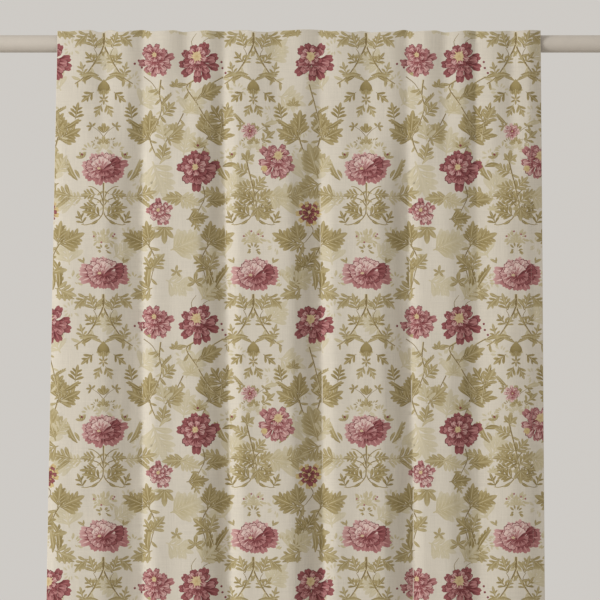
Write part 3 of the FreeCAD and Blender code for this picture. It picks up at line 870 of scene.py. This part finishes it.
def add_stitches(surface, start, end, behind, look):
    """A row of thread stitches on the cloth's face (behind < 0.2) or on its back."""
    start, end = np.array(start, float), np.array(end, float)
    length = np.linalg.norm(end - start)
    direction = (end - start) / length
    across = np.array([-direction[1], direction[0]])
    centres = start + direction * (np.arange(int(length / STITCH_PITCH))[:, None] + 0.5) * STITCH_PITCH
    rise = -STITCH_RISE if behind < 0.2 else STITCH_RISE
    half, wide = STITCH_LENGTH / 2, STITCH_WIDTH / 2
    shape = ((-half, 0, -0.2), (half, 0, -0.2), (0, -wide, 0.1), (0, wide, 0.1), (0, 0, 1.0), (0, 0, -0.6))
    flat = np.stack([centres + direction * p + across * q for p, q, _ in shape], 1)
    lift = behind + np.array([r * rise for _, _, r in shape])[None] + 0 * flat[..., 0]
    points = place_cloth(flat[..., 0], flat[..., 1], lift).reshape(-1, 3)
    one = np.array([(0, 2, 4), (2, 1, 4), (1, 3, 4), (3, 0, 4), (2, 0, 5), (1, 2, 5), (3, 1, 5), (0, 3, 5)])
    if rise > 0:
        one = one[:, ::-1]
    triangles = (one[None] + 6 * np.arange(len(centres))[:, None, None]).reshape(-1, 3)
    surface.add(points, triangles, THREAD_COLOUR, flat.reshape(-1, 2), look)


# ---------------------------------------------------------------- materials
class Nodes:
    """A node tree that is built from the inputs towards the shader."""

    def __init__(self, name):
        self.material = bpy.data.materials.new(name)
        self.material.use_nodes = True
        self.tree = self.material.node_tree
        self.shader = self.tree.nodes["Principled BSDF"]

    def node(self, kind, **inputs):
        made = self.tree.nodes.new("ShaderNode" + kind)
        for name, value in inputs.items():
            self.feed(made.inputs[name.replace("_", " ")], value)
        return made

    def feed(self, socket, value):
        if isinstance(value, bpy.types.NodeSocket):
            self.tree.links.new(value, socket)
        else:
            socket.default_value = value

    def place(self, source, scale):
        """Texture coordinates from an output, stretched by a scale for each axis."""
        return self.node("Mapping", Vector=source, Scale=scale).outputs["Vector"]

    def noise(self, vector, scale=1.0, detail=3.0):
        return self.node("TexNoise", Vector=vector, Scale=scale, Detail=detail).outputs["Fac"]

    def bands(self, vector, direction, scale):
        wave = self.node("TexWave", Vector=vector, Scale=scale, Distortion=1.2, Detail=1.0)
        wave.bands_direction = direction
        return wave.outputs["Fac"]

    def math(self, operation, a, b):
        made = self.node("Math")
        made.operation = operation
        self.feed(made.inputs[0], a)
        self.feed(made.inputs[1], b)
        return made.outputs[0]

    def span(self, value, low, high):
        """The value, from 0 to 1, turned into one from low to high."""
        made = self.node("MapRange", Value=value)
        made.inputs["To Min"].default_value = low
        made.inputs["To Max"].default_value = high
        return made.outputs["Result"]

    def tint(self, colour, factor):
        """The colour made darker or lighter by a factor near 1."""
        made = self.node("Mix")
        made.data_type, made.blend_type = "RGBA", "MULTIPLY"
        made.inputs["Factor"].default_value = 1.0
        self.feed(made.inputs[6], colour)
        self.feed(made.inputs[7], factor)
        return made.outputs[2]

    def blend(self, a, b, factor):
        made = self.node("Mix")
        made.data_type = "RGBA"
        self.feed(made.inputs["Factor"], factor)
        self.feed(made.inputs[6], (*a, 1.0))
        self.feed(made.inputs[7], (*b, 1.0))
        return made.outputs[2]

    def finish(self, colour, roughness, height, depth, **constants):
        self.feed(self.shader.inputs["Base Color"], colour)
        self.feed(self.shader.inputs["Roughness"], roughness)
        bump = self.node("Bump", Height=height, Strength=0.6, Distance=depth)
        self.feed(self.shader.inputs["Normal"], bump.outputs["Normal"])
        for name, value in constants.items():
            self.shader.inputs[name.replace("_", " ")].default_value = value
        return self.material


def woven_cloth(name, colour=None, thread=0.75):
    """A linen-look plain weave with slubs both ways; its colour is the print's where none is given."""
    n = Nodes(name)
    flat = n.node("UVMap")
    flat.uv_map = "flat"
    flat = flat.outputs["UV"]
    if colour is None:
        printed = n.node("Attribute")
        printed.attribute_name = "print"
        base = printed.outputs["Color"]
    else:
        base = (*linear(colour), 1.0)
    warp_slubs = n.noise(n.place(flat, (1.1, 0.022, 1.0)), 1.0, 4.0)
    weft_slubs = n.noise(n.place(flat, (0.020, 1.0, 1.0)), 1.0, 4.0)
    patches = n.noise(n.place(flat, (0.012, 0.009, 1.0)), 1.0, 2.0)
    wave_scale = 2 * math.pi / 20 / thread
    warp, weft = n.bands(flat, "X", wave_scale), n.bands(flat, "Y", wave_scale)
    weave = n.math("MULTIPLY", warp, weft)
    for pattern, low, high in ((warp_slubs, 0.86, 1.12), (weft_slubs, 0.88, 1.10), (patches, 0.95, 1.05),
                               (weave, 0.94, 1.03)):
        base = n.tint(base, n.span(pattern, low, high))
    height = n.math("ADD", n.math("MULTIPLY", weave, 0.5), n.math("ADD", warp_slubs, weft_slubs))
    return n.finish(base, n.span(warp_slubs, 0.78, 0.96), height, 0.0005,
                    Sheen_Weight=0.12, Sheen_Roughness=0.5, Specular_IOR_Level=0.25)


def thread_material():
    """Twisted sewing thread."""
    n = Nodes("sewing_thread")
    flat = n.node("UVMap")
    flat.uv_map = "flat"
    twist = n.bands(flat.outputs["UV"], "DIAGONAL", 0.9)
    base = n.tint((*THREAD_COLOUR, 1.0), n.span(twist, 0.82, 1.0))
    return n.finish(base, n.span(twist, 0.55, 0.75), twist, 0.0001, Sheen_Weight=0.1)


def cream_paint(name, along, light, dark, rough, grain):
    """Satin cream paint, with the faint lines of what is under it drawn out along one axis."""
    n = Nodes(name)
    place = n.node("TexCoord").outputs["Object"]
    stretched = n.place(place, tuple(6.0 if axis == along else 420.0 for axis in range(3)))
    lines = n.noise(stretched, 1.0, 4.0)
    clouds = n.noise(place, 9.0, 3.0)
    base = n.blend(linear(dark), linear(light), n.span(n.math("ADD", lines, clouds), -0.6, 1.4))
    wear = n.span(n.noise(place, 55.0, 5.0), 0.94, 1.03)
    height = n.math("ADD", n.math("MULTIPLY", lines, grain), n.math("MULTIPLY", clouds, 0.3))
    return n.finish(n.tint(base, wear), n.span(clouds, rough - 0.06, rough + 0.10), height, 0.0004,
                    Coat_Weight=0.12, Coat_Roughness=0.35)


printed_cloth = woven_cloth("printed_cloth")
band_cloth = woven_cloth("heading_band_cloth", (0.80, 0.77, 0.70), 0.60)
tab_cloth = woven_cloth("tab_cloth", (0.79, 0.755, 0.68), 0.60)
thread = thread_material()
pole_paint = cream_paint("pole_paint", 0, (0.735, 0.703, 0.660), (0.702, 0.668, 0.622), 0.50, 1.0)
cap_paint = cream_paint("cap_paint", 1, (0.735, 0.703, 0.660), (0.702, 0.668, 0.622), 0.48, 0.7)
bracket_paint = cream_paint("bracket_paint", 2, (0.725, 0.692, 0.647), (0.695, 0.660, 0.612), 0.52, 0.4)

for node_name, node in frame["nodes"].items():
    if node_name == "curtain_pole":
        finish_of_node = pole_paint
    elif node_name.endswith("end_cap"):
        finish_of_node = cap_paint
    elif node_name.endswith(("wall_plate", "bracket_arm", "cradle")):
        finish_of_node = bracket_paint
    else:
        continue
    node.data.materials.clear()
    node.data.materials.append(finish_of_node)

# ---------------------------------------------------------------- the panel, one piece for each fold line
HEM_DEPTH, SIDE_HEM = 100.0, 25.0
BAND_DEPTH = (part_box("heading_band_1_left")[1].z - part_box("heading_band_1_left")[0].z) / MM
ROLLED_EDGE = ((0, FRONT), (-0.35, 0.15), (-0.55, 0.5), (-0.45, 0.9), (0, HEM_BACK))
TURNED_EDGE = ((0, HEM_BACK), (0.5, HEM_BACK - 0.1), (0.7, 0.8), (0.4, 0.55))
EDGE_STEP, HEM_STEP = 4.0, 2.5
BACK_STEP_ACROSS, BACK_STEP_DOWN = 4.0, 5.0
HEM_STITCH, BAND_STITCH, TOP_STITCH = 3, 4, 6   # from the hem's or band's edge to its row of stitches
BAND_TURN = 3


def even(start, end, step):
    """Even places from start to end, no further apart than the step."""
    return np.linspace(start, end, max(2, math.ceil(abs(end - start) / step) + 1))


def row(start, end, drop):
    """Even places along a level line, and its drop for each of them."""
    places = even(start, end, EDGE_STEP)
    return places, np.full(len(places), float(drop))


def flipped(section):
    return tuple((-step, behind) for step, behind in section)


def panel_piece(number, low, high):
    """The panel between two upright lines; low or high is None at the panel's own edge."""
    def side_line(side, limit, drop):
        return edge_x(side, drop) if limit is None else limit + 0 * drop
    corners = [(side_line(side, (low, high)[side], down), down)
               for side, down in ((0, 0.0), (1, 0.0), (1, DROP), (0, DROP))]
    surface = Surface()
    points, triangles, colours = cut_print(corners)
    surface.add(place_cloth(points[:, 0], points[:, 1], FRONT), triangles[:, ::-1], colours[:, ::-1], points)
    x0, x1 = corners[3][0], corners[2][0]
    drop, across = np.meshgrid(even(0, DROP, BACK_STEP_DOWN), even(0, 1, BACK_STEP_ACROSS / (x1 - x0)),
                               indexing="ij")
    start, end = side_line(0, low, drop), side_line(1, high, drop)
    x = start + (end - start) * across
    add_grid(surface, x, drop, BACK, seen_through(x, drop, GHOST_SHARE), -1)

    turned_up, x = np.meshgrid(even(0, HEM_DEPTH, HEM_STEP), even(x0, x1, HEM_STEP), indexing="ij")
    add_grid(surface, x, DROP - turned_up, HEM_BACK, seen_through(x, DROP + turned_up, 1.0))
    add_border(surface, row(x0, x1, DROP), flipped(ROLLED_EDGE), GROUND_COLOUR, False)
    add_border(surface, row(x0, x1, DROP - HEM_DEPTH), flipped(TURNED_EDGE), GROUND_COLOUR, False, -1)
    hem_row, band_row = DROP - HEM_DEPTH + HEM_STITCH, BAND_DEPTH - BAND_STITCH
    for behind in (FRONT, HEM_BACK):
        add_stitches(surface, (x0, hem_row), (x1, hem_row), behind, 1)
    add_stitches(surface, (corners[0][0], band_row), (corners[1][0], band_row), FRONT, 1)

    for side, inward, limit in ((0, 1, low), (1, -1, high)):
        if limit is not None:
            continue
        drop, turned_in = np.meshgrid(even(0, DROP, EDGE_STEP), even(0, SIDE_HEM, HEM_STEP), indexing="ij")
        edge = edge_x(side, drop)
        add_grid(surface, edge + inward * turned_in, drop, HEM_BACK + 0.1,
                 seen_through(edge - inward * turned_in, drop, 1.0), -inward)
        drops = even(0.0, DROP, EDGE_STEP)
        for depth, section in ((0, ROLLED_EDGE), (SIDE_HEM, TURNED_EDGE)):
            line = edge_x(side, drops) + inward * depth
            section = section if side == 0 else flipped(section)
            add_border(surface, (line, drops), section, GROUND_COLOUR, True, inward)
        top_x, low_x = (edge_x(side, end) + inward * (SIDE_HEM - HEM_STITCH) for end in (0.0, DROP))
        for behind in (FRONT, HEM_BACK + 0.1):
            add_stitches(surface, (top_x, BAND_DEPTH), (low_x, DROP), behind, 1)
    return surface.make(f"panel_cloth_{number:02d}", [printed_cloth, thread])


def band_section():
    """The heading band's shape from the panel's top edge over its back to its turned lower edge."""
    return ((-0.02, FRONT), (-0.5, 0.25), (-0.8, 0.8), (-0.5, 1.4), (0.3, BAND_BACK), (6, BAND_BACK - 0.05),
            (14, BAND_BACK), (24, BAND_BACK - 0.1), (36, BAND_BACK), (48, BAND_BACK - 0.1), (60, BAND_BACK),
            (BAND_DEPTH - BAND_STITCH, BAND_BACK - 0.2), (BAND_DEPTH - 1, BAND_BACK), (BAND_DEPTH, 1.2),
            (BAND_DEPTH - 0.5, 0.7))


def band_piece(number, low, high):
    surface = Surface()
    start, end = (edge_x(0, 0.0) if low is None else low), (edge_x(1, 0.0) if high is None else high)
    add_border(surface, row(start, end, 0), band_section(), GROUND_COLOUR, False, -1)
    for place, behind in ((BAND_DEPTH - BAND_STITCH, BAND_BACK - 0.15), (TOP_STITCH, BAND_BACK)):
        add_stitches(surface, (start, place), (end, place), behind, 1)
    return surface.make(f"heading_band_cloth_{number:02d}", [band_cloth, thread])


seams = [None, *((a["pos_m"][0] + b["pos_m"][0]) / 2 / MM for a, b in zip(hinges, hinges[1:])), None]
for number, (hinge, low, high) in enumerate(zip(hinges, seams, seams[1:]), start=1):
    for make, slot, replaced, length in (
            (panel_piece, "printed_cloth", "panel_fold", DROP * MM),
            (band_piece, "heading_band", "heading_band", (BAND_DEPTH + BAND_TURN) * MM)):
        piece = make(number, low, high)
        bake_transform(piece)
        if hinge["name"].startswith("crest_"):
            fold = hinge["name"].removeprefix("crest_")
            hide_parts(f"{replaced}_{fold}_left", f"{replaced}_{fold}_right")

# ---------------------------------------------------------------- the back tabs
TAB_THICK, TAB_SLACK, TAB_ROUND = 1.2, 0.8, 0.35
TAB_STITCH = 3.0            # from each side of a tab to its row of stitches


def tab_path(count=72):
    """The strap's closed line round the pole and up its flat base, and each point's way out of the loop."""
    radius = (POLE_HIGH.z - POLE_LOW.z) / 2 / MM + TAB_SLACK
    base_y = BACK_Y + BAND_BACK + 0.1 + TAB_THICK
    low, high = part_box("back_tab_2")
    half = (high.z - low.z) / 2 / MM - 1.0
    angle = np.linspace(math.radians(110), math.radians(-110), count)
    slack = 1.0 + 0.5 * np.cos(angle * 3)
    y, z = POLE_Y + (radius + slack) * np.cos(angle), POLE_Z + (radius + 0.6) * np.sin(angle)
    base_z = np.linspace(POLE_Z - half, POLE_Z + half, 16)
    points = np.concatenate([np.stack([y, z], 1), np.stack([np.full(16, base_y), base_z], 1)])
    for _ in range(2):
        points = (np.roll(points, 1, 0) + 2 * points + np.roll(points, -1, 0)) / 4
    along = np.roll(points, -1, 0) - np.roll(points, 1, 0)
    out = np.stack([-along[:, 1], along[:, 0]], 1)
    return points, out / np.linalg.norm(out, axis=1, keepdims=True)


def tab_piece(number):
    low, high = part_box(f"back_tab_{number}")
    centre, half = (low.x + high.x) / 2 / MM, (high.x - low.x) / 2 / MM
    path, out = tab_path()
    section = ((-half + TAB_ROUND, TAB_THICK), (-half * 0.5, TAB_THICK), (0, TAB_THICK),
               (half * 0.5, TAB_THICK), (half - TAB_ROUND, TAB_THICK), (half, TAB_THICK - TAB_ROUND),
               (half, TAB_ROUND), (half - TAB_ROUND, 0), (0, 0), (-half + TAB_ROUND, 0),
               (-half, TAB_ROUND), (-half, TAB_THICK - TAB_ROUND))
    length = np.concatenate([[0], np.cumsum(np.linalg.norm(np.diff(path, axis=0), axis=1))])
    rows, columns = len(path), len(section)
    across, rise = np.array(section).T
    bow = 0.25 * ripple(across[None] + 40 * number, length[:, None], 9, 14, 20 + number)
    lifted = rise[None] + bow
    points = np.stack([np.broadcast_to(centre + across, (rows, columns)),
                       path[:, :1] + out[:, :1] * lifted, path[:, 1:] + out[:, 1:] * lifted], -1) * MM
    index = np.arange(rows * columns).reshape(rows, columns)
    right, up = np.roll(index, -1, 1), np.roll(index, -1, 0)
    corner = np.roll(up, -1, 1)
    quads = np.stack([index, right, corner, up], -1).reshape(-1, 4)
    triangles = np.concatenate([quads[:, [0, 1, 2]], quads[:, [0, 2, 3]]])
    surface = Surface()
    flat = np.stack(np.broadcast_arrays(across, length[:, None]), -1)
    surface.add(points.reshape(-1, 3), triangles, GROUND_COLOUR, flat.reshape(-1, 2))
    total = length[-1]
    for side in (-1, 1):
        for place in np.arange(2.0, total, STITCH_PITCH):
            i = int(np.clip(np.searchsorted(length, place), 1, rows - 1))
            share = (place - length[i - 1]) / (length[i] - length[i - 1])
            middle = path[i - 1] + (path[i] - path[i - 1]) * share
            along = (path[i] - path[i - 1]) / np.linalg.norm(path[i] - path[i - 1])
            normal = out[i]
            x = centre + side * (half - TAB_STITCH)
            ends = [middle + along * s * STITCH_LENGTH / 2 + normal * (TAB_THICK - 0.1) for s in (-1, 1)]
            crown = middle + normal * (TAB_THICK + STITCH_RISE)
            level = middle + normal * TAB_THICK
            stitch = np.array([(x, *ends[0]), (x, *ends[1]), (x - STITCH_WIDTH / 2, *level),
                               (x + STITCH_WIDTH / 2, *level), (x, *crown)]) * MM
            faces = np.array([(0, 4, 2), (2, 4, 1), (1, 4, 3), (3, 4, 0), (0, 2, 1), (0, 1, 3)])
            surface.add(stitch, faces, THREAD_COLOUR, np.array([(x, place)] * 5), 1)
    return surface.make(f"tab_loop_{number}", [tab_cloth, thread]), centre * MM, total * MM


for number in range(1, 8):
    piece, centre, length = tab_piece(number)
    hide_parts(f"back_tab_{number}")
    if number in (1, 7):
        fold = "fold_1_left" if number == 1 else "fold_6_right"
        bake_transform(piece)
    else:
        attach(piece, f"tab_{number}")

# ---------------------------------------------------------------- floor, light and camera
FLOOR_GAP, FLOOR_SIDE = 0.08, 9.0
PANEL_REACH = 0.024         # from the back folds to the front of the panel, in metres
CAMERA_DISTANCE, VIEW_WIDTH, VIEW_DROP, VIEW_SHIFT = 7.0, 1.2, 0.540, 0.002
LIGHT_PLACE, LIGHT_AIM, LIGHT_SIZE, LIGHT_WATTS = (-6.0, -3.8, 1.3), (0.0, -0.12, -0.60), 3.0, 430.0


def floor():
    n = Nodes("pale_floor")
    place = n.node("TexCoord").outputs["Object"]
    clouds = n.noise(place, 1.4, 4.0)
    material = n.finish(n.blend((0.56, 0.54, 0.51), (0.60, 0.58, 0.55), clouds), n.span(clouds, 0.7, 0.85),
                        n.noise(place, 60.0, 3.0), 0.001)
    mesh = bpy.data.meshes.new("floor")
    half, level = FLOOR_SIDE / 2, (TOP - DROP) * MM - FLOOR_GAP
    mesh.from_pydata([(-half, -half, level), (half, -half, level), (half, half, level), (-half, half, level)],
                     [], [(0, 1, 2, 3)])
    mesh.materials.append(material)
    obj = bpy.data.objects.new("floor", mesh)
    bpy.context.scene.collection.objects.link(obj)
    obj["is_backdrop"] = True


def lights():
    world = bpy.data.worlds.new("soft_room")
    world.use_nodes = True
    background = world.node_tree.nodes["Background"]
    background.inputs["Color"].default_value = (0.618, 0.594, 0.562, 1)
    background.inputs["Strength"].default_value = 1.0
    bpy.context.scene.world = world
    window = bpy.data.lights.new("window_light", "AREA")
    window.shape, window.size = "DISK", LIGHT_SIZE
    window.energy, window.color = LIGHT_WATTS, (0.97, 0.985, 1.0)
    lamp = bpy.data.objects.new("window_light", window)
    lamp.location = LIGHT_PLACE
    lamp.rotation_euler = (Vector(LIGHT_AIM) - Vector(LIGHT_PLACE)).to_track_quat("-Z", "Y").to_euler()
    bpy.context.scene.collection.objects.link(lamp)


def camera():
    data = bpy.data.cameras.new("camera")
    data.lens = data.sensor_width * CAMERA_DISTANCE / VIEW_WIDTH
    obj = bpy.data.objects.new("camera", data)
    front = BACK_Y * MM - PANEL_REACH
    obj.location = (VIEW_SHIFT, front - CAMERA_DISTANCE, TOP * MM - VIEW_DROP)
    obj.rotation_euler = (math.radians(90), 0, 0)
    bpy.context.scene.collection.objects.link(obj)
    bpy.context.scene.camera = obj


floor()
lights()
camera()
bpy.context.scene.view_settings.view_transform = "Standard"

low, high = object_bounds()
